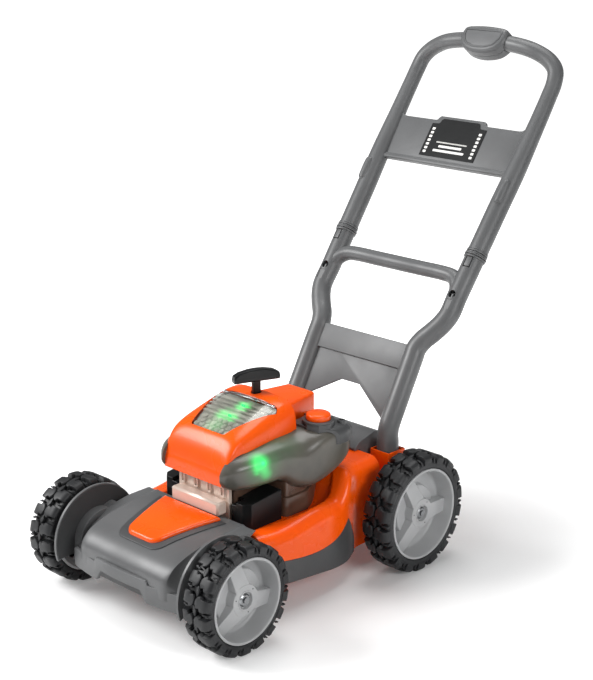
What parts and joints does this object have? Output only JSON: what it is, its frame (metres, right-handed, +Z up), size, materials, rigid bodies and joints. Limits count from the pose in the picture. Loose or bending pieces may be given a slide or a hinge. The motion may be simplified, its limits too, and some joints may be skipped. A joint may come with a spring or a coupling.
{
  "type": "toy lawn mower",
  "caption": "Child-size push mower with a moulded deck, engine hood over a smoky shroud, treaded wheels, pull starter and an upright snap-together handle.",
  "frame": {"origin": "on the ground, under the middle of the mower's width and length", "axes": "+Z up, -Y is the way the mower is pushed, +Y towards the child behind the handle, +X the child's left"},
  "size_m": [0.288, 0.6271, 0.5812],
  "materials": {
    "orange_gloss": "glossy moulded plastic",
    "grey_satin": "satin moulded plastic",
    "dark_grey": "satin moulded plastic",
    "black_plastic": "satin moulded plastic",
    "black_tread": "dull moulded plastic tread",
    "light_grey_rim": "satin moulded plastic",
    "smoky_clear": "clear smoky moulded plastic",
    "champagne": "pearl moulded plastic",
    "axle_steel": "drawn steel rod",
    "silver_trim": "silver painted plastic",
    "cord_black": "braided cord",
    "led_green": "clear green lamp",
    "board_green": "coated circuit board",
    "cell_jacket": "plain jacket"
  },
  "bodies": {
    "mower": {"air_box_left": "black_plastic", "air_box_right": "black_plastic", "axle_cap_front_left": "axle_steel", "axle_cap_front_right": "axle_steel", "axle_cap_rear_left": "axle_steel", "axle_cap_rear_right": "axle_steel", "badge_insert": "orange_gloss", "badge_tray": "dark_grey", "battery_1": "cell_jacket", "battery_2": "cell_jacket", "battery_3": "cell_jacket", "battery_door": "black_plastic", "battery_tray": "black_plastic", "chassis_plate": "black_plastic", "circuit_board": "board_green", "cylinder_fins": "black_plastic", "deck_shell": "orange_gloss", "engine_base": "smoky_clear", "engine_shroud": "smoky_clear", "front_axle": "axle_steel", "front_bumper": "grey_satin", "front_cover": "grey_satin", "handle_lower": "grey_satin", "handle_upper": "grey_satin", "hood": "orange_gloss", "hood_window": "smoky_clear", "label_plate": "black_plastic", "led_left": "led_green", "led_right": "led_green", "muffler_box": "champagne", "muffler_plate": "champagne", "pod_base": "grey_satin", "pod_cover": "grey_satin", "pod_insert": "dark_grey", "rear_axle": "axle_steel", "rear_door": "grey_satin", "recoil_case": "black_plastic", "side_skirt_left": "dark_grey", "side_skirt_right": "dark_grey", "speaker": "black_plastic", "starter_frame": "black_plastic", "switch_body": "black_plastic", "tank_top": "dark_grey", "window_trim": "silver_trim"},
    "front_left_wheel": {"tyre_front_left": "black_tread", "rim_front_left": "light_grey_rim"},
    "front_right_wheel": {"tyre_front_right": "black_tread", "rim_front_right": "light_grey_rim"},
    "rear_left_wheel": {"tyre_rear_left": "black_tread", "rim_rear_left": "light_grey_rim"},
    "rear_right_wheel": {"tyre_rear_right": "black_tread", "rim_rear_right": "light_grey_rim"},
    "starter": {"starter_handle": "black_plastic", "starter_cord": "cord_black"},
    "spool": {"starter_spool": "black_plastic"},
    "fuel_button": {"fuel_cap": "orange_gloss"},
    "switch": {"switch_slider": "black_plastic"}
  },
  "joints": [
    {"name": "front_left_wheel_roll", "type": "hinge", "parent": "mower", "child": "front_left_wheel", "pos_m": [0.126, -0.25355, 0.06], "axis": [1, 0, 0], "continuous": true},
    {"name": "front_right_wheel_roll", "type": "hinge", "parent": "mower", "child": "front_right_wheel", "pos_m": [-0.126, -0.25355, 0.06], "axis": [1, 0, 0], "continuous": true},
    {"name": "rear_left_wheel_roll", "type": "hinge", "parent": "mower", "child": "rear_left_wheel", "pos_m": [0.126, 0.02245, 0.069], "axis": [1, 0, 0], "continuous": true},
    {"name": "rear_right_wheel_roll", "type": "hinge", "parent": "mower", "child": "rear_right_wheel", "pos_m": [-0.126, 0.02245, 0.069], "axis": [1, 0, 0], "continuous": true},
    {"name": "starter_pull", "type": "slide", "parent": "mower", "child": "starter", "axis": [0, 0, 1], "range_m": [0, 0.07], "stiffness_N_per_m": 12, "springref_m": -0.03},
    {"name": "spool_turn", "type": "hinge", "parent": "mower", "child": "spool", "pos_m": [0, -0.11355, 0.174], "axis": [1, 0, 0], "range_deg": [0, 325]},
    {"name": "fuel_button_press", "type": "slide", "parent": "mower", "child": "fuel_button", "axis": [0, 0, 1], "range_m": [-0.0022, 0], "stiffness_N_per_m": 500, "springref_m": 0.002},
    {"name": "switch_slide", "type": "slide", "parent": "mower", "child": "switch", "axis": [1, 0, 0], "range_m": [0, 0.004]}
  ],
  "couplings": [
    {"joint": "spool_turn", "follows": "starter_pull", "rad_per_m": 80}
  ]
}
